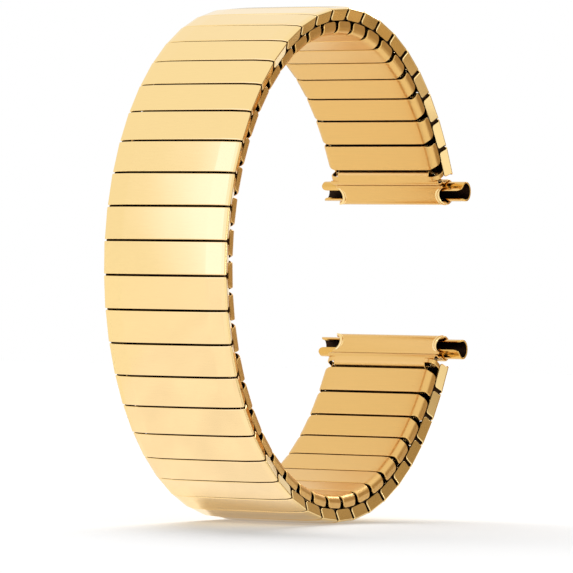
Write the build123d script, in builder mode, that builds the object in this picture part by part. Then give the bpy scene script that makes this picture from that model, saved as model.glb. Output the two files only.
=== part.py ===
from build123d import *
from math import cos, hypot, radians, sin
import os

# Expansion watch band, 16 mm wide, with telescoping ends for watches of 16 to 22 mm between the lugs.
# Frame: Y runs across the band, X points from the closed side to the gap where the watch case goes,
# Z is up. The origin is the centre of the whole band, as it stands in its ring. Millimetres.
# Every link has a plane of its own: its x runs along the band, away from the middle link, and its z
# points out of the ring. Heights in a link are measured from the lower corners of the shell's top.

# Ring
links_each_side = 20
pitch = 3.884  # from seam to seam, at the corners of the shells
middle_turn = radians(7.16)  # turn from one link to the next beside the middle link
swell_share = 0.842  # the turn grows towards the shoulders of the ring by this share
straight_share = 1.125  # and falls off again towards the ends
stretch_every = 3  # every third junction carries its staples as moving pieces

# Shell: the polished outer cover of each upper link
band_width = 16.0
shell_sheet = 0.25
seam_gap = 0.20
crown = 0.30  # how far the flat middle stands above the corners
crown_edge = 0.10  # the flat middle runs past the sleeve under it by this much
flap_height = 1.35
flap_lean = 0.60  # how far the side flap leans in over its height
flap_taper = 0.34  # how much the side flap narrows at each end over its height

# Upper sleeve: the box tube under the shell
sleeve_inset = 1.80  # from the side of the band to the end of the tubes
sleeve_gap = 0.424  # between two upper sleeves, along the band
sleeve_wall = 0.13
sleeve_height = 1.45
sleeve_clearance = 0.02

# Lower link: the satin inner link with a tube and two side flaps
band_thickness = 3.15
lower_inset = 0.50  # from the side of the band to the side of the lower links
lower_gap = 0.604  # between two lower links, along the band
lower_sheet = 0.20
tier_gap = 0.28  # between the upper and the lower tubes
flap_gap = 0.25  # between the upper and the lower flaps
lower_bend = 0.75  # one flat stands for each bend

# Leaf springs
leaf_thickness = 0.12
leaf_inset = 0.30  # from the end of the tube to the end of the leaf
leaf_side_gap = 0.06
leaf_clearance = 0.02

# Staples: the bows that tie each upper link to the lower links beside it
staple_width = 0.34
staple_thickness = 0.30
staple_leg = 3.1
staple_clearance = 0.04
staple_rise = 0.12  # room over the upper legs, which rise a little when the band stretches
bow_gap = 0.25  # from the end of the tube to the bow

# End piece: one folded sheet with a barrel, a centre tube and an inner wall
end_turn = radians(2.5)  # the end piece leans in this much more than the last shell
end_sheet = 0.25
barrel_start = 1.70  # the barrel's round nose lies this far before the last seam
barrel_end = 0.30  # and its far side this far past it
barrel_nose = 0.50
fold_bend = 0.20
tube_inset = 0.30  # from the side of the band to the end of the centre tube
tube_depth = 0.80  # the tube's axis lies this far below the corners of the shells
tube_ahead = 1.85  # and this far past the last seam
inner_wall_bend = 0.45
inner_wall_corner = 0.05
lip_gap = 0.10
notch_radius = 1.1
notch_depth = 0.7

# End sleeve: the sliding C-section tube that takes one half of the spring bar
end_sleeve_radius = 1.19
end_sleeve_wall = 0.22
end_sleeve_length = 7.3
end_sleeve_reach = 1.70  # how far it stands out past the side of the band
end_sleeve_clearance = 0.04
mouth_angle = radians(57)
mouth_corner = 0.50

# One overrun serves all cuts
overrun = 1.0

half_width = band_width / 2
sleeve_half_width = half_width - sleeve_inset
lower_half_width = half_width - lower_inset
tube_half_width = half_width - tube_inset
crown_half_width = sleeve_half_width + crown_edge
leaf_half_length = sleeve_half_width - leaf_inset
end_sleeve_tip = half_width + end_sleeve_reach
shell_length = pitch - seam_gap
sleeve_length = pitch - sleeve_gap
lower_length = pitch - lower_gap
leaf_width = lower_length - 2 * (sleeve_wall + leaf_side_gap)
sleeve_top = crown - shell_sheet - sleeve_clearance
sleeve_middle = sleeve_top - sleeve_height / 2
lower_top = sleeve_top - sleeve_height - tier_gap
lower_height = band_thickness + lower_top
lower_flap_top = -flap_height - flap_gap
staple_reach = hypot(staple_width, staple_thickness) / 2 + staple_clearance
upper_leg_height = sleeve_middle - staple_rise
lower_leg_height = (lower_top - sleeve_wall + lower_sheet - band_thickness) / 2
upper_leg_along = sleeve_length / 2 - sleeve_wall - staple_reach
lower_leg_along = lower_length / 2 - sleeve_wall - staple_reach
bow_inner = sleeve_half_width + bow_gap
bow_outer = bow_inner + staple_thickness
leg_tip = bow_outer - staple_leg


def turn_at(step):
    """Turn of the band at a junction, counted from the middle link."""
    share = (step - 0.5) / links_each_side
    return middle_turn * (1 + swell_share * share**2 - straight_share * share**4)


def ring_frames(side, left):
    """Planes of the upper and the lower links, from the middle link to one end of the band."""
    angle = 0.0
    seam_x, seam_z = left, pitch / 2
    uppers = [ring_plane(left, 0.0, angle, side)]
    lowers = []
    for step in range(1, links_each_side + 1):
        turn = turn_at(step)
        lowers.append(ring_plane(seam_x, seam_z, angle + turn / 2, side))
        angle += turn
        next_x, next_z = seam_x + pitch * sin(angle), seam_z + pitch * cos(angle)
        uppers.append(ring_plane((seam_x + next_x) / 2, (seam_z + next_z) / 2, angle, side))
        seam_x, seam_z = next_x, next_z
    return uppers, lowers, ring_plane(seam_x, seam_z, angle + end_turn, side)


def ring_plane(x, z, angle, side):
    """A plane at a point of one half of the ring, whose x leaves the middle link at this angle."""
    along = (sin(angle), 0, side * cos(angle))
    outward = (-cos(angle), 0, side * sin(angle))
    return Plane(origin=(x, 0, side * z), x_dir=along, z_dir=outward)


def at(plane, along, height):
    """A point in the middle of the band's width, by its place in a link's plane."""
    return plane.from_local_coords((along, 0, height))


# The left end of the ring is set by its box, so that the origin is the centre of the band.
tube_outer = end_sleeve_radius + end_sleeve_clearance + end_sheet
ring_right = at(ring_frames(1, 0.0)[2], tube_ahead, -tube_depth).X + tube_outer
ring_left = (crown - ring_right) / 2


# Profiles lie across the band (across_band) or along it (along_band), in a link at the origin.
across_band = Plane.YZ
along_band = Plane.XZ

# Shell: a flat crown, two falls to the corners and two flaps that lean in, in one sheet.
with BuildPart() as shell:
    with BuildSketch(across_band.offset(-shell_length / 2)):
        with BuildLine():
            rim = Polyline(
                (flap_lean - half_width, -flap_height),
                (-half_width, 0),
                (-crown_half_width, crown),
                (crown_half_width, crown),
                (half_width, 0),
                (half_width - flap_lean, -flap_height),
            )
            offset(rim, amount=shell_sheet, side=Side.RIGHT, closed=True)
        make_face()
    extrude(amount=shell_length)
    for end in (-1, 1):
        # the side flaps narrow from the corners of the shell
        with BuildSketch(along_band):
            with BuildLine():
                Polyline(
                    (end * shell_length / 2, 0),
                    (end * (shell_length / 2 + overrun), -2 * flap_height),
                    (end * (shell_length / 2 - 2 * flap_taper), -2 * flap_height),
                    close=True,
                )
            make_face()
        extrude(amount=half_width, both=True, mode=Mode.SUBTRACT)

# Upper sleeve: a box tube, open at both sides of the band.
with BuildPart() as upper_sleeve:
    with BuildSketch(along_band):
        with Locations((0, sleeve_middle)):
            Rectangle(sleeve_length, sleeve_height)
            Rectangle(
                sleeve_length - 2 * sleeve_wall,
                sleeve_height - 2 * sleeve_wall,
                mode=Mode.SUBTRACT,
            )
    extrude(amount=sleeve_half_width, both=True)

# Lower channel: the wall that touches the wrist bends up at both sides and ends in the side flaps.
with BuildSketch() as lower_channel:
    with BuildLine():
        rim = Polyline(
            (-lower_half_width, lower_flap_top),
            (-lower_half_width, lower_bend - band_thickness),
            (lower_bend - lower_half_width, -band_thickness),
            (lower_half_width - lower_bend, -band_thickness),
            (lower_half_width, lower_bend - band_thickness),
            (lower_half_width, lower_flap_top),
        )
        offset(rim, amount=lower_sheet, side=Side.LEFT, closed=True)
    make_face()

# Lower link: the channel and a tube on it.
with BuildPart() as lower_link:
    with BuildSketch(across_band.offset(-lower_length / 2)):
        add(lower_channel.sketch)
    extrude(amount=lower_length)
    with BuildSketch(along_band):
        with Locations((0, -band_thickness)):
            Rectangle(lower_length, lower_height, align=(Align.CENTER, Align.MIN))
        with Locations((0, lower_leg_height)):
            Rectangle(
                lower_length - 2 * sleeve_wall,
                lower_height - sleeve_wall - lower_sheet,
                mode=Mode.SUBTRACT,
            )
    extrude(amount=sleeve_half_width, both=True)


def leaf(ceiling, leg_top):
    """Profile of a leaf spring: it bears on the tube at its middle and on the staples at its ends."""
    top = ceiling - leaf_clearance
    tip = leg_top + leaf_clearance
    return [
        (0, top),
        (-leaf_half_length, tip + leaf_thickness),
        (-leaf_half_length, tip),
        (0, top - leaf_thickness),
        (leaf_half_length, tip),
        (leaf_half_length, tip + leaf_thickness),
    ]


with BuildPart() as upper_leaf:
    with BuildSketch(across_band.offset(-leaf_width / 2)):
        with BuildLine():
            Polyline(*leaf(sleeve_top - sleeve_wall, sleeve_middle + staple_reach), close=True)
        make_face()
    extrude(amount=leaf_width)

with BuildPart() as lower_leaf:
    with BuildSketch(across_band.offset(-leaf_width / 2)):
        with BuildLine():
            Polyline(*leaf(lower_top - sleeve_wall, lower_leg_height + staple_reach), close=True)
        make_face()
    extrude(amount=leaf_width)


def staple_pair(lower_axis, upper_axis, along):
    """Two staples, one at each side of the band. A staple is a flat U that leans from its lower leg
    to its upper leg, while the flats of both legs stay parallel to the links."""
    lean = upper_axis - lower_axis
    reach = lean.length
    half = staple_thickness / 2
    start = lower_axis - along * (staple_width / 2)
    leaning = Plane(origin=start, x_dir=(0, 1, 0), z_dir=Vector(0, 1, 0).cross(lean))
    with BuildPart() as pair:
        for side in (-1, 1):
            with BuildSketch(leaning):
                with BuildLine():
                    Polyline(
                        (side * leg_tip, -half),
                        (side * bow_outer, -half),
                        (side * bow_outer, reach + half),
                        (side * leg_tip, reach + half),
                        (side * leg_tip, reach - half),
                        (side * bow_inner, reach - half),
                        (side * bow_inner, half),
                        (side * leg_tip, half),
                        close=True,
                    )
                make_face()
            extrude(amount=staple_width, dir=along)
    return pair.part


def leg_axes(upper, lower, side):
    """Axes of the lower and the upper leg between a lower link and the upper link on this side of it."""
    return (
        at(lower, side * lower_leg_along, lower_leg_height),
        at(upper, -side * upper_leg_along, upper_leg_height),
    )


def export(piece, name):
    """Labels a piece and writes it."""
    piece.label = name
    export_step(piece, f"parts/{name}.step")


def link_name(side, step):
    """Links are numbered along the band, from its upper end to its lower end."""
    return f"link_{links_each_side + 1 - side * step:02d}"


os.makedirs("parts", exist_ok=True)
halves = {side: ring_frames(side, ring_left) for side in (1, -1)}

for side, (uppers, lowers, end) in halves.items():
    for step in range(links_each_side + 1):
        if step == 0 and side == -1:
            continue
        carried = [(side, step)] if step else [(1, 0), (-1, 0)]
        staples = []
        own_lowers = []
        for half, place in carried:
            half_uppers, half_lowers, half_end = halves[half]
            if place == links_each_side:
                continue
            lower = half_lowers[place]
            own_lowers.append(lower)
            along = lower.x_dir
            staples.append(staple_pair(*leg_axes(half_uppers[place], lower, -1), along))
            if (place + 1) % stretch_every:
                staples.append(staple_pair(*leg_axes(half_uppers[place + 1], lower, 1), along))
        with BuildPart() as link:
            with Locations(uppers[step]):
                add(shell.part)
                add(upper_sleeve.part)
                add(upper_leaf.part)
            for lower in own_lowers:
                with Locations(lower):
                    add(lower_link.part)
                    add(lower_leaf.part)
            for pair in staples:
                add(pair)
        export(link.part, link_name(side, step))

# Staples of the junctions that stretch: they are pieces of their own.
for side, (uppers, lowers, end) in halves.items():
    for step in range(stretch_every, links_each_side + 1, stretch_every):
        lower = lowers[step - 1]
        staples = staple_pair(*leg_axes(uppers[step], lower, 1), lower.x_dir)
        export(staples, link_name(side, step).replace("link", "staples"))

# End piece: the sheet starts inside the barrel, rounds its nose, runs along the wrist side, folds
# outwards, wraps the sliding sleeves and comes back as the flat inner wall.
tube_radius = end_sleeve_radius + end_sleeve_clearance + end_sheet / 2
wall_height = -tube_depth - tube_radius
barrel_top = lower_top - end_sheet / 2
barrel_floor = end_sheet / 2 - band_thickness
barrel_back = end_sheet / 2 - barrel_start
fold_along = barrel_end - end_sheet / 2
tube_back = tube_ahead - tube_radius
tube_front = tube_ahead + tube_radius
barrel_leg_along = barrel_back + end_sheet / 2 + staple_reach
barrel_lip = fold_along - end_sheet / 2 - lip_gap
inner_wall_lip = fold_along + end_sheet / 2 + lip_gap
jog_height = wall_height + end_sheet + lip_gap
wall_front = tube_front + inner_wall_corner

with BuildPart() as end_piece:
    with BuildSketch(along_band):
        with BuildLine():
            fold = FilletPolyline(
                (barrel_lip, barrel_top),
                (barrel_back, barrel_top),
                (barrel_back, barrel_floor),
                (fold_along, barrel_floor),
                (fold_along, jog_height),
                (tube_back, -tube_depth - end_sleeve_radius / 2),
                (tube_back, -tube_depth),
                radius=[barrel_nose, barrel_nose, fold_bend, fold_bend, fold_bend],
            )
            wrap = ThreePointArc(
                (tube_back, -tube_depth),
                (tube_ahead, tube_radius - tube_depth),
                (tube_front, -tube_depth),
            )
            wall = FilletPolyline(
                (tube_front, -tube_depth),
                (wall_front, wall_height),
                (inner_wall_lip, wall_height),
                radius=inner_wall_bend,
            )
        trace(line_width=end_sheet)
    extrude(amount=tube_half_width, both=True)
    for end in (-1, 1):
        # the barrel is as long as the tubes, so that the staples' bows pass its ends
        with BuildSketch(along_band.offset(end * sleeve_half_width)):
            with Locations((barrel_end - end_sheet, -band_thickness)):
                Rectangle(
                    barrel_start + barrel_end + overrun,
                    2 * lower_height + end_sheet,
                    align=(Align.MAX, Align.CENTER),
                )
        extrude(amount=end * tube_half_width, mode=Mode.SUBTRACT)
        # a round notch at each end of the inner wall shows the sleeve
        with BuildSketch(Plane.XY.offset(wall_height - end_sheet)):
            with Locations((tube_ahead, end * (tube_half_width + notch_radius - notch_depth))):
                Circle(notch_radius)
        extrude(amount=2 * end_sheet, mode=Mode.SUBTRACT)
    # cheeks close the ends of the barrel, like the side flaps of a lower link
    with BuildSketch(across_band.offset(barrel_nose - barrel_start)):
        add(lower_channel.sketch)
    extrude(amount=barrel_start - barrel_nose + barrel_end - end_sheet / 2)

# End sleeve: a C-section tube with its mouth towards the wrist.
mouth_half = end_sleeve_radius + overrun
with BuildPart() as end_sleeve:
    with BuildSketch(along_band.offset(-end_sleeve_tip)):
        with Locations((tube_ahead, -tube_depth)):
            Circle(end_sleeve_radius)
            Circle(end_sleeve_radius - end_sleeve_wall, mode=Mode.SUBTRACT)
        with BuildLine():
            Polyline(
                (tube_ahead, -tube_depth),
                (
                    tube_ahead - mouth_half * sin(mouth_angle / 2),
                    -tube_depth - mouth_half * cos(mouth_angle / 2),
                ),
                (
                    tube_ahead + mouth_half * sin(mouth_angle / 2),
                    -tube_depth - mouth_half * cos(mouth_angle / 2),
                ),
                close=True,
            )
        make_face(mode=Mode.SUBTRACT)
    extrude(amount=end_sleeve_length)
    # the lips of the mouth are rounded at both ends
    lips = end_sleeve.edges().filter_by(GeomType.LINE).filter_by(Axis.Y, reverse=True)
    fillet(lips, radius=mouth_corner)

for side, (uppers, lowers, end) in halves.items():
    place = "upper" if side == 1 else "lower"
    last = uppers[links_each_side]
    lower_axis = at(end, barrel_leg_along, lower_leg_height)
    upper_axis = at(last, upper_leg_along, upper_leg_height)
    staples = staple_pair(lower_axis, upper_axis, end.x_dir)
    with BuildPart() as fitting:
        with Locations(end):
            add(end_piece.part)
        add(staples)
    export(fitting.part, f"{place}_end_piece")
    for across in (-1, 1):
        with BuildPart() as sliding:
            with Locations(end):
                if across * side == 1:
                    add(end_sleeve.part)
                else:
                    add(mirror(end_sleeve.part, about=Plane.XZ, mode=Mode.PRIVATE))
        where = sliding.part.center().Y
        export(sliding.part, f"{place}_end_sleeve_{'front' if where < 0 else 'back'}")
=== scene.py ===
import bpy
import bmesh
import numpy as np
from mathutils import Matrix, Vector


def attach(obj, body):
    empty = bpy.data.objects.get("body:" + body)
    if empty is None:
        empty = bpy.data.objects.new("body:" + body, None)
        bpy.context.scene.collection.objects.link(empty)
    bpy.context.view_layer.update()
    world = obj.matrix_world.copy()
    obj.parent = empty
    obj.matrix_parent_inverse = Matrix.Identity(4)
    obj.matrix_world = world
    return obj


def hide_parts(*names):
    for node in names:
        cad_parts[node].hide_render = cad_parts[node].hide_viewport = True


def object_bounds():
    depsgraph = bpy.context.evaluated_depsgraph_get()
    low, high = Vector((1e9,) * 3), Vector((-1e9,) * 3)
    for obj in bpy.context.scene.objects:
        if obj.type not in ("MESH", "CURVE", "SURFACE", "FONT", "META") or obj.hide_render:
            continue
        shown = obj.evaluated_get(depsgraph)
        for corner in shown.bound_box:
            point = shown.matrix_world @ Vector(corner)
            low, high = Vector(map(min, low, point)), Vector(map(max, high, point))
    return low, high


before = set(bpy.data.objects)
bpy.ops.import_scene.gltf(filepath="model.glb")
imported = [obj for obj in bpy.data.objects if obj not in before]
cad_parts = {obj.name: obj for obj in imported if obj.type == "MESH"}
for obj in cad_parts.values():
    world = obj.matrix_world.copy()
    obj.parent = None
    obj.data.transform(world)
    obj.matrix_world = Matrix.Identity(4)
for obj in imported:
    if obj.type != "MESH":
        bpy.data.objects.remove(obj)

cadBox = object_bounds()
mm = 0.001
print("frame loaded, nodes:", len(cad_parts))

# Ring: an upper link in the middle of the closed side and twenty more on each half, with a lower link
# between every two. The dictionaries give millimetres.
ring = {
    "linksEachSide": 20,
    "pitch": 3.884,
    "middleTurn": np.radians(7.16),
    "swellShare": 0.842,
    "straightShare": 1.125,
    "endTurn": np.radians(2.5),
    "crown": 0.30,  # how far the covers stand out of the links' own planes
    "thickness": 3.15,  # how far the lower links' floors lie below them
    "stretchEvery": 3,
}


def turnAt(step):
    # turn at a junction: the middle turn times one, plus a swell with the square of its place, less a fall
    # with the fourth power. The place is 0 in the middle of the band and 1 at its end.
    share = (step - 0.5) / ring["linksEachSide"]
    return ring["middleTurn"] * (1 + ring["swellShare"] * share**2 - ring["straightShare"] * share**4)


def linkPlane(x, z, angle, side):
    # a link's own axes: along the band away from its middle, which is the upright turned by the angle, then
    # across it, which is the cross product of the others, and out of the ring
    along = np.array([np.sin(angle), 0, side * np.cos(angle)])
    outward = np.array([-np.cos(angle), 0, side * np.sin(angle)])
    axes = np.array([along, np.cross(outward, along), outward])
    return {"origin": np.array([x, 0, side * z]), "axes": axes}


def halfRing(side, left):
    # planes of one half's upper links, lower links and end piece. Each seam lies a pitch on from the one
    # before, in the direction of all turns so far. An upper link lies midway between two seams, a lower link
    # on a seam with half its turn, and the end piece on the last seam.
    angle, seamX, seamZ = 0.0, left, ring["pitch"] / 2
    uppers, lowers = [linkPlane(left, 0.0, 0.0, side)], []
    for step in range(1, ring["linksEachSide"] + 1):
        turn = turnAt(step)
        lowers.append(linkPlane(seamX, seamZ, angle + turn / 2, side))
        angle += turn
        nextX = seamX + ring["pitch"] * np.sin(angle)
        nextZ = seamZ + ring["pitch"] * np.cos(angle)
        uppers.append(linkPlane((seamX + nextX) / 2, (seamZ + nextZ) / 2, angle, side))
        seamX, seamZ = nextX, nextZ
    return uppers, lowers, linkPlane(seamX, seamZ, angle + ring["endTurn"], side)


ringLeft = cadBox[0][0] / mm + ring["crown"]
halves = {side: halfRing(side, ringLeft) for side in (1, -1)}


def legPoint(plane, along, height):
    # a point in the middle of the band's width: a link's origin, plus so far along it and so far out of it
    return plane["origin"] + np.array([along, 0, height]) @ plane["axes"]


def placed(plane, form):
    # a form from a link's own axes, in millimetres, to the band's frame, in metres: the link's origin plus
    # each coordinate times its axis
    return (plane["origin"] + form[0] @ plane["axes"]) * mm, *form[1:]


# Sheets: a form is its points, its faces and which of the faces lie on an inner side, which are painted
# near-black as shade
support = 0.03  # flat runs have a point this close to each round corner, so that they stay flat when smooth
outerFaces = 3  # a section's first faces, which lie on the sheet's outer side


def roundedPath(corners, radii, arcSteps=6):
    # a line through the corners, each cut by an arc of its radius that touches both its runs: its middle lies
    # on the corner's bisector, at the radius over the sine of half the corner's angle
    corners = np.array(corners, float)
    points = [corners[:1]]
    for before, corner, after, radius in zip(corners[:-2], corners[1:-1], corners[2:], radii):
        a = (before - corner) / np.linalg.norm(before - corner)
        b = (after - corner) / np.linalg.norm(after - corner)
        half = np.arccos(np.clip(a @ b, -1, 1)) / 2
        reach = radius / np.tan(half)
        middle = corner + (a + b) / np.linalg.norm(a + b) * radius / np.sin(half)
        start, stop = corner + a * reach - middle, corner + b * reach - middle
        sweep = np.pi - 2 * half
        t = np.linspace(0, 1, arcSteps + 1)[:, None]
        arc = (np.sin((1 - t) * sweep) * start + np.sin(t * sweep) * stop) / np.sin(sweep)
        points.append(corner[None] + a * (reach + support))
        points.append(middle + arc)
        points.append(corner[None] + b * (reach + support))
    points.append(corners[-1:])
    return np.concatenate(points)


def lineNormals(path, closed=False):
    # unit normals to the left of a line: at each point the mean direction of its two runs, or on a closed
    # line the direction between its two neighbours, turned by a quarter
    if closed:
        tangent = np.roll(path, -1, 0) - np.roll(path, 1, 0)
    else:
        runs = np.diff(path, axis=0)
        runs /= np.linalg.norm(runs, axis=1)[:, None]
        tangent = np.concatenate([runs[:1], runs[:-1] + runs[1:], runs[-1:]])
    tangent /= np.linalg.norm(tangent, axis=1)[:, None]
    return np.stack([-tangent[:, 1], tangent[:, 0]], 1)


def fromEnds(path):
    # how far each point of a line lies from its nearer end: the sum of the runs before it, or after it
    lengths = np.concatenate([[0], np.cumsum(np.linalg.norm(np.diff(path, axis=0), axis=1))])
    return np.minimum(lengths, lengths[-1] - lengths)


def roundCut(fromEdge, size):
    # how far a round corner stands back at a place near its edge: the corner's size, less the square root of
    # its square less the square of what the place still lacks to that size
    lacking = np.clip(size - fromEdge, 0, None)
    return size - np.sqrt(size**2 - lacking**2)


def smoothStep(x, start, end):
    # 0 before the start, 1 past the end, and between them three times the square of the share of the way,
    # less twice its cube
    t = np.clip((x - start) / (end - start), 0, 1)
    return t * t * (3 - 2 * t)


def gridFaces(grid, capEnds=False, closedRows=False):
    # a grid whose columns close on themselves: each face joins (i, j), (i, j + 1), (i + 1, j + 1), (i + 1, j)
    rows, columns = grid.shape[:2]
    index = np.arange(rows * columns).reshape(rows, columns)
    near = index if closedRows else index[:-1]
    far = np.roll(index, -1, 0) if closedRows else index[1:]
    quads = np.stack([near, np.roll(near, -1, 1), np.roll(far, -1, 1), far], -1).reshape(-1, 4)
    faces = quads.tolist()
    if capEnds:
        faces += [index[0][::-1].tolist(), index[-1].tolist()]
    return grid.reshape(-1, 3), faces


def foldedSheet(path, low, high, thickness, edge, arcSteps=3):
    # a sheet whose outer face follows the path and whose thickness lies to the left of it. Across the path it
    # runs from low to high, and its section there is a rectangle with round corners of the edge radius.
    # Point (i, j) is path point i plus its normal times the depth of section point j, and its third
    # coordinate is the place of section point j across the path.
    low, high = np.broadcast_to(low, len(path)), np.broadcast_to(high, len(path))
    t = np.linspace(0, np.pi / 2, arcSteps + 1)
    s, c = np.sin(t) * edge, edge - np.cos(t) * edge
    flat = edge + support
    # the section's points: which end each belongs to (0 low, 1 high), how far in from it, and how deep
    ends = np.concatenate([[0, 0, 1, 1], np.ones(2 * arcSteps + 1), [1, 0], np.zeros(2 * arcSteps)])
    insets = np.concatenate([[edge, flat, flat, edge], edge - s[1:], c, [flat, flat], edge - s[1:], c[:-1]])
    depths = np.concatenate([np.zeros(4), c[1:], thickness - edge + s, [thickness, thickness],
                             thickness - c[1:], (edge - s)[:-1]])
    places = np.where(ends[None] > 0, high[:, None] - insets[None], low[:, None] + insets[None])
    outline = path[:, None, :] + lineNormals(path)[:, None, :] * depths[None, :, None]
    points, faces = gridFaces(np.concatenate([outline, places[:, :, None]], 2), capEnds=True)
    # faces deep in the sheet, on its inner side, get the painted shade
    deep = depths > thickness - edge / 2
    inner = np.tile(deep & np.roll(deep, -1), len(path) - 1)
    return points, faces, np.concatenate([inner, [False, False]])


def joined(parts):
    # several closed forms as one: their points in a row, and each form's faces counted on from the one before
    points, faces, inner, start = [], [], [], 0
    for partPoints, partFaces, partInner in parts:
        points.append(partPoints)
        faces += [[i + start for i in face] for face in partFaces]
        inner.append(partInner)
        start += len(partPoints)
    return np.concatenate(points), faces, np.concatenate(inner)


sharpAngle = np.radians(40)  # edges that turn by more than this stay sharp


def makePiece(name, form, body, nodes, material):
    # a form as a smooth mesh with its faces outwards and its inner sides painted near-black as shade, on its
    # CAD body
    points, faces, inner = form
    mesh = bpy.data.meshes.new(name)
    mesh.from_pydata(points, [], faces)
    work = bmesh.new()
    work.from_mesh(mesh)
    bmesh.ops.recalc_face_normals(work, faces=work.faces)
    work.to_mesh(mesh)
    work.free()
    mesh.shade_smooth()
    mesh.set_sharp_from_angle(angle=sharpAngle)
    mesh.materials.append(material)
    # the faces marked inner take the near-black painted shade material
    if inner.any():
        mesh.materials.append(paintedShade)
        mesh.polygons.foreach_set("material_index", inner.astype(np.int32))
    piece = bpy.data.objects.new(name, mesh)
    bpy.context.scene.collection.objects.link(piece)
    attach(piece, body)
    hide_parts(*nodes)


# Finishes: grain and ripple each give how fine a bump is and how strong
finishes = {
    "mirrorGold": {
        "colour": (0.98, 0.72, 0.33), "roughness": 0.08, "grain": (20000, 0.05), "ripple": (180, 0.15),
    },
    # the satin finish is real, but its colour is set darker than the mirror gold's as painted shade of the
    # band's inside
    "satinGold": {
        "colour": (0.82, 0.51, 0.17), "roughness": 0.30, "grain": (9000, 0.5), "ripple": (300, 0.1),
    },
    "stapleGold": {
        "colour": (0.90, 0.72, 0.42), "roughness": 0.16, "grain": (20000, 0.2), "ripple": (300, 0.0),
    },
    "sleeveGold": {
        "colour": (0.78, 0.46, 0.12), "roughness": 0.14, "grain": (20000, 0.2), "ripple": (300, 0.1),
    },
    # the inner sides of the sheets, the tubes and the tongues are painted near-black as shade, so that seams
    # and gaps look dark
    "paintedShade": {
        "colour": (0.035, 0.018, 0.010), "roughness": 0.55, "grain": (20000, 0.3), "ripple": (300, 0.0),
    },
}
brushing = {
    "across": 0.03,  # the grain's scale across the band, as a share of its scale along it
    "detail": 3.0,
    "tones": (0.94, 1.04),
    "roughnesses": (0.8, 1.25),
    "grainDepth": 0.00001,  # in metres
    "rippleDepth": 0.0001,
}


def metal(name):
    # plated sheet: colour and roughness are mixed between two shares of the finish's own by a fine noise that
    # is stretched across the band, and two bumps tilt the surface: that fine grain and a slow ripple
    d = finishes[name]
    grainScale, grainStrength = d["grain"]
    rippleScale, rippleStrength = d["ripple"]
    material = bpy.data.materials.new(name)
    material.use_nodes = True
    nodes, links = material.node_tree.nodes, material.node_tree.links
    shader = nodes["Principled BSDF"]
    shader.inputs["Metallic"].default_value = 1.0
    coordinates = nodes.new("ShaderNodeTexCoord")
    stretch = nodes.new("ShaderNodeMapping")
    stretch.inputs["Scale"].default_value = (grainScale, grainScale * brushing["across"], grainScale)
    links.new(coordinates.outputs["Object"], stretch.inputs["Vector"])
    fine = nodes.new("ShaderNodeTexNoise")
    fine.inputs["Scale"].default_value = 1.0
    fine.inputs["Detail"].default_value = brushing["detail"]
    links.new(stretch.outputs["Vector"], fine.inputs["Vector"])
    slow = nodes.new("ShaderNodeTexNoise")
    slow.inputs["Scale"].default_value = rippleScale
    slow.inputs["Detail"].default_value = 0.0
    links.new(coordinates.outputs["Object"], slow.inputs["Vector"])
    tone = nodes.new("ShaderNodeMix")
    tone.data_type = "RGBA"
    for socket, share in zip("AB", brushing["tones"]):
        tone.inputs[socket].default_value = (*[min(c * share, 1) for c in d["colour"]], 1)
    links.new(fine.outputs["Fac"], tone.inputs["Factor"])
    links.new(tone.outputs["Result"], shader.inputs["Base Color"])
    rough = nodes.new("ShaderNodeMapRange")
    for socket, share in zip(("To Min", "To Max"), brushing["roughnesses"]):
        rough.inputs[socket].default_value = d["roughness"] * share
    links.new(fine.outputs["Fac"], rough.inputs["Value"])
    links.new(rough.outputs["Result"], shader.inputs["Roughness"])
    fineBump = nodes.new("ShaderNodeBump")
    fineBump.inputs["Strength"].default_value = grainStrength
    fineBump.inputs["Distance"].default_value = brushing["grainDepth"]
    links.new(fine.outputs["Fac"], fineBump.inputs["Height"])
    slowBump = nodes.new("ShaderNodeBump")
    slowBump.inputs["Strength"].default_value = rippleStrength
    slowBump.inputs["Distance"].default_value = brushing["rippleDepth"]
    links.new(slow.outputs["Fac"], slowBump.inputs["Height"])
    links.new(fineBump.outputs["Normal"], slowBump.inputs["Normal"])
    links.new(slowBump.outputs["Normal"], shader.inputs["Normal"])
    return material


mirrorGold, satinGold = metal("mirrorGold"), metal("satinGold")
stapleGold, sleeveGold = metal("stapleGold"), metal("sleeveGold")
paintedShade = metal("paintedShade")
print("finishes mixed:", len(finishes))

# Side flaps of covers and lower links: their free corners are cut round
flapRows = {"count": 7, "reach": 1.05}


def withFlapRows(path, corner):
    # more points along a section's first and last run, evenly over a little more than the corner's size, so
    # that the flaps' corners come out round
    steps = np.linspace(0, 1, flapRows["count"])[1:-1, None] * corner * flapRows["reach"]
    start = (path[1] - path[0]) / np.linalg.norm(path[1] - path[0])
    stop = (path[-2] - path[-1]) / np.linalg.norm(path[-2] - path[-1])
    return np.concatenate([path[:1], path[:1] + steps * start, path[1:-1],
                           (path[-1:] + steps * stop)[::-1], path[-1:]])


# Shell: the polished cover of an upper link
shell = {
    "halfWidth": 8.0,
    "crownHalfWidth": 5.6,
    "crownSag": 0.05,
    "shoulder": (7.3, 0.15),
    "flapBottom": (7.47, -1.35),
    "cornerRadius": 0.22,
    "shoulderRadius": 1.2,
    "crownEdgeRadius": 8.0,
    "crownRadius": 580.0,
    "sheet": 0.22,
    "halfLength": 1.842,
    "flapHalfLength": 1.62,
    "taper": (0.04, 0.30),  # the cover grows shorter between these depths below its corner
    "flapCorner": 0.36,
    "edge": 0.10,
    # each cover is twisted by this much for every square millimetre away from its middle
    "twist": 0.002,
}


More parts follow.
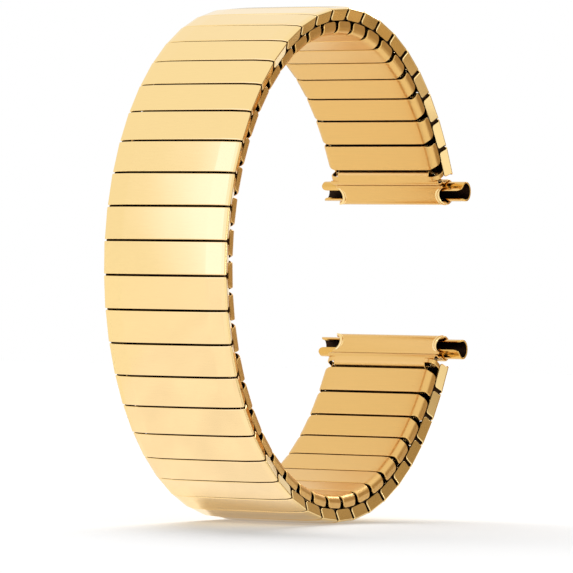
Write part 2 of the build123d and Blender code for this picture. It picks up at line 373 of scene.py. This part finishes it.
def shellForm(side):
    # a section across the band, from one flap's free edge over the top to the other's, with a half length at
    # each of its points: the full one, less the taper down the flap, less the round corner's cut. The twist
    # lifts each point by its place along times its place across.
    d = shell
    crownEdge = (d["crownHalfWidth"], ring["crown"] - d["crownSag"])
    half = [d["flapBottom"], (d["halfWidth"], 0.0), d["shoulder"], crownEdge, (0.0, ring["crown"])]
    corners = half + [(-y, z) for y, z in half[-2::-1]]
    bends = [d["cornerRadius"], d["shoulderRadius"], d["crownEdgeRadius"]]
    path = withFlapRows(roundedPath(corners, bends + [d["crownRadius"]] + bends[::-1]), d["flapCorner"])
    taper = (d["halfLength"] - d["flapHalfLength"]) * smoothStep(-path[:, 1], *d["taper"])
    reach = d["halfLength"] - taper - roundCut(fromEnds(path), d["flapCorner"])
    points, faces, inner = foldedSheet(path, -reach, reach, d["sheet"], d["edge"])
    lift = side * d["twist"] * points[:, 2] * points[:, 0]
    return np.stack([points[:, 2], points[:, 0], points[:, 1] + lift], 1), faces, inner


# Upper tube: the box tube under the shell
upperTube = {"halfWidth": 6.2, "wall": 0.13, "length": 3.46, "height": 1.45, "top": 0.03, "bend": 0.2}
upperTubeMiddle = upperTube["top"] - upperTube["height"] / 2


def upperTubeForm():
    # a rectangle with round corners along the band, carried across it, and the same line moved in by the wall
    d = upperTube
    high, far = d["height"] / 2, d["length"] / 2
    corners = [(0, high), (-far, high), (-far, -high), (far, -high), (far, high), (0, high)]
    outer = roundedPath(corners, [d["bend"]] * 4, arcSteps=3)[:-1]
    hollow = outer + lineNormals(outer, closed=True) * d["wall"]
    width = d["halfWidth"]
    loop = [(outer, -width), (outer, width), (hollow, width), (hollow, -width)]
    grid = np.stack([np.column_stack([line[:, 0], np.full(len(line), y), line[:, 1]]) for line, y in loop])
    points, faces = gridFaces(grid + [0, 0, upperTubeMiddle], closedRows=True)
    # the whole tube is marked inner, so all of it is painted near-black as shade, seen in the seams between
    # the covers
    return points, faces, np.full(len(faces), True)


# Lower link: the satin inner link with its side flaps and its tube
lower = {
    "halfWidth": 7.42,
    "flapTop": -1.55,
    "rise": 0.09,  # how far the floor's sides lie above its middle
    "riseStart": 5.9,
    "riseRadius": 18.0,
    "bend": 0.95,
    "sheet": 0.20,
    "halfLength": 1.63,
    "flapHalfLength": 1.42,
    "taper": (6.5, 7.3),  # the link grows shorter between these half widths
    "flapCorner": 0.40,
    "edge": 0.095,
    "tubeHeight": 1.45,
    "tubeHalfLength": 1.61,
    "tubeBend": 0.2,
    "tubeEdge": 0.04,
    "tongue": [(7.23, -2.00), (7.23, -1.66), (7.13, -1.42), (7.66, -0.10)],
    "tongueHalfLength": 0.60,
    "tongueSheet": 0.12,
    "tongueBend": 0.1,
    "tongueEdge": 0.03,
}
lowerFloor = -ring["thickness"]
lowerTop = lowerFloor + lower["tubeHeight"]


def channelForm():
    # a section across the band, from one flap's free edge over the floor to the other's, with a half length
    # at each of its points: the full one, less the taper towards the flaps, less the round corner's cut
    d = lower
    side = [(-d["halfWidth"], d["flapTop"]), (-d["halfWidth"], lowerFloor + d["rise"])]
    half = side + [(-d["riseStart"], lowerFloor)]
    corners = half + [(-y, z) for y, z in half[::-1]]
    path = roundedPath(corners, [d["bend"], d["riseRadius"], d["riseRadius"], d["bend"]], arcSteps=8)
    path = withFlapRows(path, d["flapCorner"])
    taper = (d["halfLength"] - d["flapHalfLength"]) * smoothStep(np.abs(path[:, 0]), *d["taper"])
    reach = d["halfLength"] - taper - roundCut(fromEnds(path), d["flapCorner"])
    points, faces, inner = foldedSheet(path, -reach, reach, d["sheet"], d["edge"])
    return np.stack([points[:, 2], points[:, 0], points[:, 1]], 1), faces, inner


def lowerTubeForm():
    # the tube on the channel's floor: a line up, along and down with round corners, carried across the band
    d = lower
    far, foot = d["tubeHalfLength"], lowerFloor + d["sheet"] / 2
    corners = [(far, foot), (far, lowerTop), (-far, lowerTop), (-far, foot)]
    strip = roundedPath(corners, [d["tubeBend"]] * 2, arcSteps=3)
    width = upperTube["halfWidth"]
    points, faces, _ = foldedSheet(strip, -width, width, upperTube["wall"], d["tubeEdge"], arcSteps=1)
    # the whole tube is marked inner, so all of it is painted near-black as shade
    return np.stack([points[:, 0], points[:, 2], points[:, 1]], 1), faces, np.full(len(faces), True)


def tongueForm(side):
    # a strip inside the side flap, which closes the gap between the flaps of the two covers: a bent line,
    # carried along the band
    d = lower
    path = roundedPath(d["tongue"], [d["tongueBend"]] * 2, arcSteps=2)
    reach = d["tongueHalfLength"]
    points, faces, _ = foldedSheet(path, -reach, reach, d["tongueSheet"], d["tongueEdge"], arcSteps=1)
    # the whole tongue is marked inner, so it is painted near-black as shade and the gap between the flaps
    # looks dark
    return np.stack([points[:, 2], side * points[:, 0], points[:, 1]], 1), faces, np.full(len(faces), True)


# Leaf spring: bowed across the band, between the ceiling of a tube and the staples' legs
leaf = {
    "thickness": 0.12,
    "halfWidth": 1.45,
    "halfLength": 5.9,
    "clearance": 0.02,
    "edge": 0.02,
    "points": 9,
}


def leafForm(ceiling, tip):
    # a parabola: from just under the ceiling it falls to its tips with the square of the way out
    d = leaf
    t = np.linspace(-1, 1, d["points"])
    top = ceiling - d["clearance"]
    path = np.column_stack([-t * d["halfLength"], top - (top - tip - d["thickness"]) * t**2])
    width = d["halfWidth"]
    points, faces, _ = foldedSheet(path, -width, width, d["thickness"], d["edge"], arcSteps=1)
    return np.stack([points[:, 2], points[:, 0], points[:, 1]], 1), faces, np.full(len(faces), False)


# Staple: a flat strip bent to a U, whose legs lie in an upper and a lower link
staple = {
    "width": 0.34,
    "thickness": 0.30,
    "corner": 0.05,
    "bend": 0.22,
    "leg": 3.1,
    "clearance": 0.04,
    "drop": 0.12,  # how far an upper leg lies below the middle of its tube
    "bowGap": 0.25,
}
bowInner = upperTube["halfWidth"] + staple["bowGap"]
bowMiddle = bowInner + staple["thickness"] / 2
legTip = bowInner + staple["thickness"] - staple["leg"]
stapleReach = np.hypot(staple["width"], staple["thickness"]) / 2 + staple["clearance"]
upperLegHeight = upperTubeMiddle - staple["drop"]
upperLegAlong = upperTube["length"] / 2 - upperTube["wall"] - stapleReach
lowerLegHeight = (lowerTop - upperTube["wall"] + lowerFloor + lower["sheet"]) / 2
lowerLegAlong = lower["halfLength"] - upperTube["wall"] - stapleReach


def stapleForm(lowerAxis, upperAxis, along):
    # two Us, one each side of the band: point (i, j) is point i of the U, which leans from its lower leg to
    # its upper leg, plus the strip's section point j, whose width stays along the lower link
    d = staple
    lean = upperAxis - lowerAxis
    height = np.linalg.norm(lean)
    corners = [(legTip, 0), (bowMiddle, 0), (bowMiddle, height), (legTip, height)]
    line = roundedPath(corners, [d["bend"]] * 2, arcSteps=3)
    h, w, r = d["thickness"] / 2, d["width"] / 2, d["corner"]
    section = np.array([(-h + r, -w), (h - r, -w), (h, -w + r), (h, w - r),
                        (h - r, w), (-h + r, w), (-h, w - r), (-h, -w + r)])
    flat = line[:, None, :] + lineNormals(line)[:, None, :] * section[None, :, :1]
    up = lean / height
    pair = []
    for side in (-1, 1):
        outward = np.array([0, side, 0])
        grid = lowerAxis + flat[:, :, :1] * outward + flat[:, :, 1:] * up + section[None, :, 1:] * along
        points, faces = gridFaces(grid * mm, capEnds=True)
        pair.append((points, faces, np.full(len(faces), False)))
    return joined(pair)


def stapleAt(upper, low, side):
    # the staples that tie a lower link to the upper link on this side of it
    lowerLeg = legPoint(low, side * lowerLegAlong, lowerLegHeight)
    upperLeg = legPoint(upper, -side * upperLegAlong, upperLegHeight)
    return stapleForm(lowerLeg, upperLeg, low["axes"][0])


# Links
shellShape = {side: shellForm(side) for side in (1, -1)}
lowerShape = joined([channelForm(), lowerTubeForm(), tongueForm(-1), tongueForm(1)])
upperTubeShape = upperTubeForm()
leafTip = stapleReach + leaf["clearance"]
upperLeafShape = leafForm(upperTube["top"] - upperTube["wall"], upperTubeMiddle + leafTip)
lowerLeafShape = leafForm(lowerTop - upperTube["wall"], lowerLegHeight + leafTip)

last = ring["linksEachSide"]
for side in (1, -1):
    for step in range(0 if side == 1 else 1, last + 1):
        number = last + 1 - side * step
        node = f"link_{number:02d}"
        plane = halves[side][0][step]
        cover = placed(plane, shellShape[side])
        makePiece(f"shell_{number:02d}", cover, node, [node], mirrorGold)
        satin = [placed(plane, upperTubeShape)]
        springs = [placed(plane, upperLeafShape)]
        staples = []
        # each link carries the lower link after it. The middle one carries two, the last one of a half none.
        carried = [(side, step)] if step else [(1, 0), (-1, 0)]
        for half, place in carried:
            if place == last:
                continue
            uppers, lowers, _ = halves[half]
            satin.append(placed(lowers[place], lowerShape))
            springs.append(placed(lowers[place], lowerLeafShape))
            staples.append(stapleAt(uppers[place], lowers[place], -1))
            if (place + 1) % ring["stretchEvery"]:
                staples.append(stapleAt(uppers[place + 1], lowers[place], 1))
        makePiece(f"inner_link_{number:02d}", joined(satin), node, [node], satinGold)
        makePiece(f"leaf_springs_{number:02d}", joined(springs), node, [node], stapleGold)
        if staples:
            makePiece(f"link_staples_{number:02d}", joined(staples), node, [node], stapleGold)
    # the staples of the junctions that stretch swing on bodies of their own
    for step in range(ring["stretchEvery"], last + 1, ring["stretchEvery"]):
        node = f"staples_{last + 1 - side * step:02d}"
        form = stapleAt(halves[side][0][step], halves[side][1][step - 1], 1)
        makePiece(f"moving_{node}", form, node, [node], stapleGold)
print("links made:", 2 * last + 1)

# End piece: one folded sheet with a barrel, a tube around the end sleeves and an inner wall
endPiece = {
    "sheet": 0.25,
    "barrelStart": -1.70,
    "barrelEnd": 0.30,
    "barrelHalfWidth": upperTube["halfWidth"],
    "nose": 0.60,
    "fold": 0.80,
    "bend": 0.12,
    "tubeAhead": 1.85,
    "tubeDepth": 0.80,
    "tubeHalfWidth": 7.3,
    "tubeRadius": 1.48,
    "tubePoints": 25,
    "wallBend": 0.85,
    "wallCorner": 0.05,
    "wallPoints": 40,
    "lipGap": 0.16,
    "edge": 0.11,
    "notchRadius": 1.1,
    "notchDepth": 0.92,
    "notchHeight": 0.05,  # the notch is cut where the sheet lies this close to the inner wall's own height
    "turnedPoints": 4,  # points ahead of the tube from which the sheet has turned over
    "cheekStart": 5.9,
    "cheekLift": 0.01,
}
# Notch lip: the rolled edge of a notch in the inner wall
notchLip = {
    "radius": 0.30,
    "sweep": np.radians(80),
    "thinning": 0.95,
    "inset": 0.04,
    "flatness": 0.7,
    "stand": 0.02,  # how far it stands out of the wall's middle towards the wrist
    "points": 25,
    "around": 13,
}
# End sleeve: a rolled tube that slides in the end piece, with its mouth towards the wrist
endSleeve = {
    "radius": 1.19,
    "wall": 0.22,
    "length": 7.3,
    "tip": 9.7,
    "mouth": np.radians(57),
    "lip": 0.75,
    "edge": 0.08,
    "points": 61,
    "lipSteps": 2,  # the arc has more points over its first and last steps, this many each
    "lipPoints": 8,
}


def endSheetLines():
    # the section of the folded sheet in three parts. The first goes round the barrel and in past the fold,
    # the second is an arc around the sleeves' axis, and the third goes back along the inner wall.
    d = endPiece
    axis, depth, radius = d["tubeAhead"], -d["tubeDepth"], d["tubeRadius"] - d["sheet"]
    wall, foldAlong = depth - radius, d["barrelEnd"]
    corners = [(foldAlong - d["sheet"] - d["lipGap"], lowerTop), (d["barrelStart"], lowerTop),
               (d["barrelStart"], lowerFloor), (foldAlong, lowerFloor), (foldAlong, wall + d["lipGap"]),
               (axis - radius, depth - radius / 2), (axis - radius, depth)]
    first = roundedPath(corners, [d["nose"], d["nose"], d["fold"], d["bend"], d["bend"]])
    t = np.linspace(np.pi, 0, d["tubePoints"])[1:-1]
    wrap = np.column_stack([axis + radius * np.cos(t), depth + radius * np.sin(t)])
    corner = (axis + radius + d["wallCorner"], wall)
    back = roundedPath([(axis + radius, depth), corner, (foldAlong + d["lipGap"], wall)], [d["wallBend"]])
    run = np.linspace(0, 1, d["wallPoints"])[1:-1, None]
    return first, wrap, np.concatenate([back[:-1], back[-2] + (back[-1] - back[-2]) * run, back[-1:]])


def endSheetForm():
    # the section carried across the band, as wide as the barrel there and as wide as the tube past it. On the
    # inner wall each notch cuts the half width to its middle, less the square root of its radius squared less
    # the place's distance from the sleeves' axis squared.
    d = endPiece
    first, wrap, back = endSheetLines()
    path = np.concatenate([first, wrap, back])
    rows = np.arange(len(path))
    half = np.full(len(path), d["tubeHalfWidth"])
    inBarrel = (rows < len(first)) & (path[:, 0] < d["barrelEnd"] - d["fold"] - support / 2)
    half[inBarrel] = d["barrelHalfWidth"]
    away = np.abs(path[:, 0] - d["tubeAhead"])
    arc = np.sqrt(np.clip(d["notchRadius"] ** 2 - away**2, 0, None))
    notch = d["tubeHalfWidth"] + d["notchRadius"] - d["notchDepth"] - arc
    onWall = (rows >= len(first) + len(wrap)) & (path[:, 1] < back[-1, 1] + d["notchHeight"])
    notched = onWall & (away < d["notchRadius"])
    half[notched] = np.minimum(half, notch)[notched]
    points, faces, inner = foldedSheet(path, -half, half, d["sheet"], d["edge"])
    # from the last bend ahead of the tube the sheet has turned over, so its inner side, which is painted
    # near-black as shade, is the path's own
    turned = inner[:-2].reshape(len(path) - 1, -1)[len(first) - d["turnedPoints"]:]
    turned[:] = False
    turned[:, :outerFaces] = True
    return np.stack([points[:, 0], points[:, 2], points[:, 1]], 1), faces, inner


def notchLipForm():
    # the rolled lip of each notch in the inner wall: point (i, j) lies on the notch's arc at angle i, plus a
    # round bead at angle j, whose radius falls with the cosine of the angle along the arc
    d, lip = endPiece, notchLip
    middle = d["tubeHalfWidth"] + d["notchRadius"] - d["notchDepth"]
    t = np.linspace(-1, 1, lip["points"])[:, None] * lip["sweep"]
    s = np.linspace(0, 2 * np.pi, lip["around"])[:-1]
    bead = lip["radius"] * np.cos(t * lip["thinning"])
    reach = d["notchRadius"] + lip["inset"] + bead * np.cos(s)
    wall = d["sheet"] / 2 - d["tubeDepth"] - d["tubeRadius"]
    height = wall - lip["stand"] + lip["flatness"] * bead * np.sin(s)
    pair = []
    for side in (-1, 1):
        grid = np.stack([d["tubeAhead"] + reach * np.sin(t), side * (middle - reach * np.cos(t)), height], 2)
        points, faces = gridFaces(grid, capEnds=True)
        pair.append((points, faces, np.full(len(faces), False)))
    return joined(pair)


def cheekForm():
    # the ends of the barrel: a sheet that runs out along its bottom and up its side, as a lower link's flap
    d = endPiece
    bottom, side = lowerFloor + d["cheekLift"], lower["halfWidth"]
    corners = [(d["cheekStart"], bottom), (side, bottom), (side, lower["flapTop"])]
    path = roundedPath(corners, [lower["bend"]], arcSteps=8)
    start, stop = d["barrelStart"] + d["nose"], d["barrelEnd"] - d["fold"]
    points, faces, inner = foldedSheet(path, start, stop, lower["sheet"], lower["edge"])
    pair = [(np.stack([points[:, 2], s * points[:, 0], points[:, 1]], 1), faces, inner) for s in (-1, 1)]
    return joined(pair)


def endSleeveForm(side):
    # an arc around the tube's axis, from one lip of the mouth to the other, carried across the band and cut
    # round where a lip meets a tip
    d = endSleeve
    t = np.linspace(d["mouth"] / 2 - np.pi / 2, 3 * np.pi / 2 - d["mouth"] / 2, d["points"])
    fine = np.linspace(0, 1, d["lipPoints"])[1:-1] * (t[1] - t[0]) * d["lipSteps"]
    t = np.unique(np.concatenate([t, t[0] + fine, t[-1] - fine]))
    axis, depth = endPiece["tubeAhead"], -endPiece["tubeDepth"]
    path = np.column_stack([axis + d["radius"] * np.cos(t), depth + d["radius"] * np.sin(t)])
    cut = roundCut(np.minimum(t - t[0], t[-1] - t) * d["radius"], d["lip"])
    low, high = d["tip"] - d["length"] + cut, d["tip"] - cut
    points, faces, inner = foldedSheet(path, low, high, d["wall"], d["edge"])
    return np.stack([points[:, 0], side * points[:, 2], points[:, 1]], 1), faces, inner


foldShape, notchLips = joined([endSheetForm(), cheekForm()]), notchLipForm()
for side, place in ((1, "upper"), (-1, "lower")):
    uppers, _, plane = halves[side]
    node = f"{place}_end_piece"
    makePiece(f"{place}_fold", placed(plane, foldShape), node, [node], satinGold)
    makePiece(f"{place}_notch_lips", placed(plane, notchLips), node, [node], mirrorGold)
    barrelLeg = legPoint(plane, endPiece["barrelStart"] + endPiece["sheet"] + stapleReach, lowerLegHeight)
    form = stapleForm(barrelLeg, legPoint(uppers[last], upperLegAlong, upperLegHeight), plane["axes"][0])
    makePiece(f"{place}_end_staples", form, node, [node], stapleGold)
    for across, where in ((-1, "front"), (1, "back")):
        # the plane's own y axis points backwards in the lower half
        form = placed(plane, endSleeveForm(across * np.sign(plane["axes"][1][1])))
        node = f"{place}_end_sleeve_{where}"
        makePiece(f"{place}_sleeve_{where}", form, node, [node], sleeveGold)
print("end pieces made")

# Camera, as fitted to the photograph's seams. Focal and image are in pixels, and the target is counted from
# the leftmost link.
camera = {
    "azimuth": np.radians(-60.991),
    "elevation": np.radians(-0.694),
    "roll": np.radians(1.197),
    "distance": 548.769,
    "focal": 4703.735,
    "image": 573,
    "target": (28.153, 0.0, -2.598),
    "sensor": 36.0,
    "clip": (0.01, 20.0),
}


def addCamera():
    # the camera stands at the target plus its distance along its own back axis, and its other two axes are
    # turned by the roll
    d = camera
    a, e, r = d["azimuth"], d["elevation"], d["roll"]
    back = np.array([np.sin(a) * np.cos(e), -np.cos(a) * np.cos(e), np.sin(e)])
    right = np.array([np.cos(a), np.sin(a), 0])
    up = np.cross(back, right)
    target = np.array(d["target"]) + [ringLeft, 0, 0]
    matrix = np.eye(4)
    matrix[:3, 0] = np.cos(r) * right + np.sin(r) * up
    matrix[:3, 1] = np.cos(r) * up - np.sin(r) * right
    matrix[:3, 2] = back
    matrix[:3, 3] = (target + d["distance"] * back) * mm
    data = bpy.data.cameras.new("camera")
    data.sensor_width = d["sensor"]
    data.lens = d["sensor"] * d["focal"] / d["image"]
    data.clip_start, data.clip_end = d["clip"]
    obj = bpy.data.objects.new("camera", data)
    bpy.context.scene.collection.objects.link(obj)
    obj.matrix_world = Matrix(matrix.tolist())
    bpy.context.scene.camera = obj


addCamera()
print("camera set")

# Studio: a pale floor and world, and a soft sun
studio = {
    "floorSize": 6.0,  # in metres
    "floorColour": (0.80, 0.80, 0.80),
    "floorGlow": 0.26,
    "worldStrength": 0.40,
    "sunStrength": 2.4,
    "sunAngle": np.radians(44),
    "sunFrom": (0.6, 0.65, 1.0),
    "mottleScale": 160.0,
    "mottleDetail": 4.0,
    "mottleRange": (0.3, 0.7),
}
# Glow cards that only the metal mirrors. Fade is how wide the soft edges are along both sides, as a share of
# the card, and rise is the stretch of the second side's fade that the card spans.
cards = {
    "lightLeft": {
        "corners": [(-548, 306, -29), (-627, 20, -29), (-627, 60, 420), (-548, 395, 420)],
        "colour": (1.3, 1.4, 2.0), "fade": (0.12, 0.3), "rise": (0.5, 0.5), "mottle": 0.0,
    },
    "lightHigh": {
        "corners": [(-548, 395, 420), (-627, 60, 420), (-627, 100, 950), (-548, 600, 950)],
        "colour": (1.3, 1.4, 2.0), "fade": (0.12, 0.4), "rise": (0.5, 1), "mottle": 0.0,
    },
    "lightFloor": {
        "corners": [(-10, 22, -29.5), (-6, -16, -29.5), (-620, 20, -29.5), (-548, 300, -29.5)],
        "colour": (1.07, 1.05, 1.18), "fade": (0.14, 0.004), "rise": (0, 0.5), "mottle": 0.07,
    },
    "darkFront": {
        "corners": [(235, -450, -29), (440, -30, -29), (440, -30, 260), (235, -450, 260)],
        "colour": (0.42, 0.31, 0.18), "fade": (0.1, 0.2), "rise": (0.5, 1), "mottle": 0.6,
    },
    "darkFloor": {
        "corners": [(80, -20, -29), (450, 60, -29), (450, -250, -29), (84, -150, -29)],
        "colour": (0.50, 0.35, 0.18), "fade": (0.12, 0.1), "rise": (0, 1), "mottle": 0.8,
    },
    "greyBack": {
        "corners": [(400, 90, -29), (290, 280, -29), (290, 280, 150), (400, 90, 150)],
        "colour": (0.50, 0.46, 0.40), "fade": (0.2, 0.4), "rise": (0.5, 1), "mottle": 0.3,
    },
    "greyFloor": {
        "corners": [(90, 30, -29), (60, 110, -29), (290, 280, -29), (400, 90, -29)],
        "colour": (0.42, 0.36, 0.27), "fade": (0.2, 0.2), "rise": (0, 0.5), "mottle": 0.3,
    },
    "rimBack": {
        "corners": [(430, 30, 165), (430, -105, 165), (395, -105, 270), (395, 30, 270)],
        "colour": (10.0, 10.0, 10.5), "fade": (0.2, 0.2), "rise": (0, 1), "mottle": 0.0,
    },
    "rimFront": {
        "corners": [(-110, -385, -29), (-138, -376, -29), (-138, -376, 130), (-110, -385, 130)],
        "colour": (9.0, 9.0, 9.5), "fade": (0.2, 0.3), "rise": (0.5, 1), "mottle": 0.0,
    },
}


def seen(nodes, links):
    # the largest of three ray kinds: 1 where the camera, a mirror or a glass looks, else 0
    path = nodes.new("ShaderNodeLightPath")
    total = path.outputs["Is Camera Ray"]
    for kind in ("Is Glossy Ray", "Is Transmission Ray"):
        add = nodes.new("ShaderNodeMath")
        add.operation = "MAXIMUM"
        links.new(total, add.inputs[0])
        links.new(path.outputs[kind], add.inputs[1])
        total = add.outputs[0]
    return total


def floorMaterial():
    # a pale floor that takes the band's shadow, plus a little glow times what is seen, which makes it white
    d = studio
    material = bpy.data.materials.new("floor")
    material.use_nodes = True
    nodes, links = material.node_tree.nodes, material.node_tree.links
    shader = nodes["Principled BSDF"]
    shader.inputs["Base Color"].default_value = (*d["floorColour"], 1)
    shader.inputs["Roughness"].default_value = 1.0
    shader.inputs["Specular IOR Level"].default_value = 0.0
    shader.inputs["Emission Color"].default_value = (1, 1, 1, 1)
    glow = nodes.new("ShaderNodeMath")
    glow.operation = "MULTIPLY"
    links.new(seen(nodes, links), glow.inputs[0])
    glow.inputs[1].default_value = d["floorGlow"]
    links.new(glow.outputs[0], shader.inputs["Emission Strength"])
    return material


def cardMaterial(name, colour, fade, mottle):
    # a glow times the product of two fades, which rise from a card's edges to their widths. Where the card is
    # mottled, a slow noise moves its strength around one.
    material = bpy.data.materials.new(name)
    material.use_nodes = True
    nodes, links = material.node_tree.nodes, material.node_tree.links
    nodes.clear()
    coordinates = nodes.new("ShaderNodeTexCoord")
    axes = nodes.new("ShaderNodeSeparateXYZ")
    links.new(coordinates.outputs["UV"], axes.inputs[0])
    cover = nodes.new("ShaderNodeMath")
    cover.operation = "MULTIPLY"
    for number, width in enumerate(fade):
        edge = nodes.new("ShaderNodeMath")
        edge.operation = "PINGPONG"
        edge.inputs[1].default_value = 0.5
        links.new(axes.outputs[number], edge.inputs[0])
        soft = nodes.new("ShaderNodeMapRange")
        soft.interpolation_type = "SMOOTHSTEP"
        soft.inputs["From Max"].default_value = width
        links.new(edge.outputs[0], soft.inputs["Value"])
        links.new(soft.outputs["Result"], cover.inputs[number])
    glow = nodes.new("ShaderNodeEmission")
    glow.inputs["Color"].default_value = (*colour, 1)
    glow.inputs["Strength"].default_value = 1.0
    if mottle:
        noise = nodes.new("ShaderNodeTexNoise")
        noise.inputs["Scale"].default_value = studio["mottleScale"]
        noise.inputs["Detail"].default_value = studio["mottleDetail"]
        links.new(coordinates.outputs["Object"], noise.inputs["Vector"])
        level = nodes.new("ShaderNodeMapRange")
        low, high = studio["mottleRange"]
        level.inputs["From Min"].default_value = low
        level.inputs["From Max"].default_value = high
        level.inputs["To Min"].default_value = 1 - mottle
        level.inputs["To Max"].default_value = 1 + mottle
        links.new(noise.outputs["Fac"], level.inputs["Value"])
        links.new(level.outputs["Result"], glow.inputs["Strength"])
    clear = nodes.new("ShaderNodeBsdfTransparent")
    mix = nodes.new("ShaderNodeMixShader")
    links.new(cover.outputs[0], mix.inputs[0])
    links.new(clear.outputs[0], mix.inputs[1])
    links.new(glow.outputs[0], mix.inputs[2])
    output = nodes.new("ShaderNodeOutputMaterial")
    links.new(mix.outputs[0], output.inputs["Surface"])
    return material


def addFloor():
    # a square at the height of the band's lowest point
    size, height = studio["floorSize"] / 2, cadBox[0][2]
    corners = [(-size, -size, height), (size, -size, height), (size, size, height), (-size, size, height)]
    mesh = bpy.data.meshes.new("floor")
    mesh.from_pydata(corners, [], [(0, 1, 2, 3)])
    floor = bpy.data.objects.new("floor", mesh)
    bpy.context.scene.collection.objects.link(floor)
    mesh.materials.append(floorMaterial())


def addLight():
    # a world that runs from its strength to 1 with what is seen, and a sun that no mirror shows
    world = bpy.data.worlds.new("world")
    bpy.context.scene.world = world
    world.use_nodes = True
    nodes, links = world.node_tree.nodes, world.node_tree.links
    background = nodes["Background"]
    background.inputs["Color"].default_value = (1, 1, 1, 1)
    strength = nodes.new("ShaderNodeMapRange")
    strength.inputs["To Min"].default_value = studio["worldStrength"]
    strength.inputs["To Max"].default_value = 1.0
    links.new(seen(nodes, links), strength.inputs["Value"])
    links.new(strength.outputs["Result"], background.inputs["Strength"])
    data = bpy.data.lights.new("key", "SUN")
    data.energy, data.angle = studio["sunStrength"], studio["sunAngle"]
    key = bpy.data.objects.new("key", data)
    key.rotation_euler = Vector(studio["sunFrom"]).to_track_quat("Z", "Y").to_euler()
    key.visible_glossy = False
    bpy.context.scene.collection.objects.link(key)


def addCards():
    # each card is one face through its four corners, whose pattern runs from 0 to 1 along its first side and
    # over its rise along its second
    for name, d in cards.items():
        mesh = bpy.data.meshes.new(name)
        mesh.from_pydata((np.array(d["corners"]) * mm).tolist(), [], [(0, 1, 2, 3)])
        low, high = d["rise"]
        mesh.uv_layers.new().data.foreach_set("uv", [0, low, 1, low, 1, high, 0, high])
        mesh.materials.append(cardMaterial(name, d["colour"], d["fade"], d["mottle"]))
        card = bpy.data.objects.new(name, mesh)
        bpy.context.scene.collection.objects.link(card)
        card.visible_camera = card.visible_diffuse = card.visible_shadow = card.visible_transmission = False


addFloor()
addLight()
addCards()
print("studio set, cards:", len(cards))

bpy.context.scene.view_settings.view_transform = "Standard"
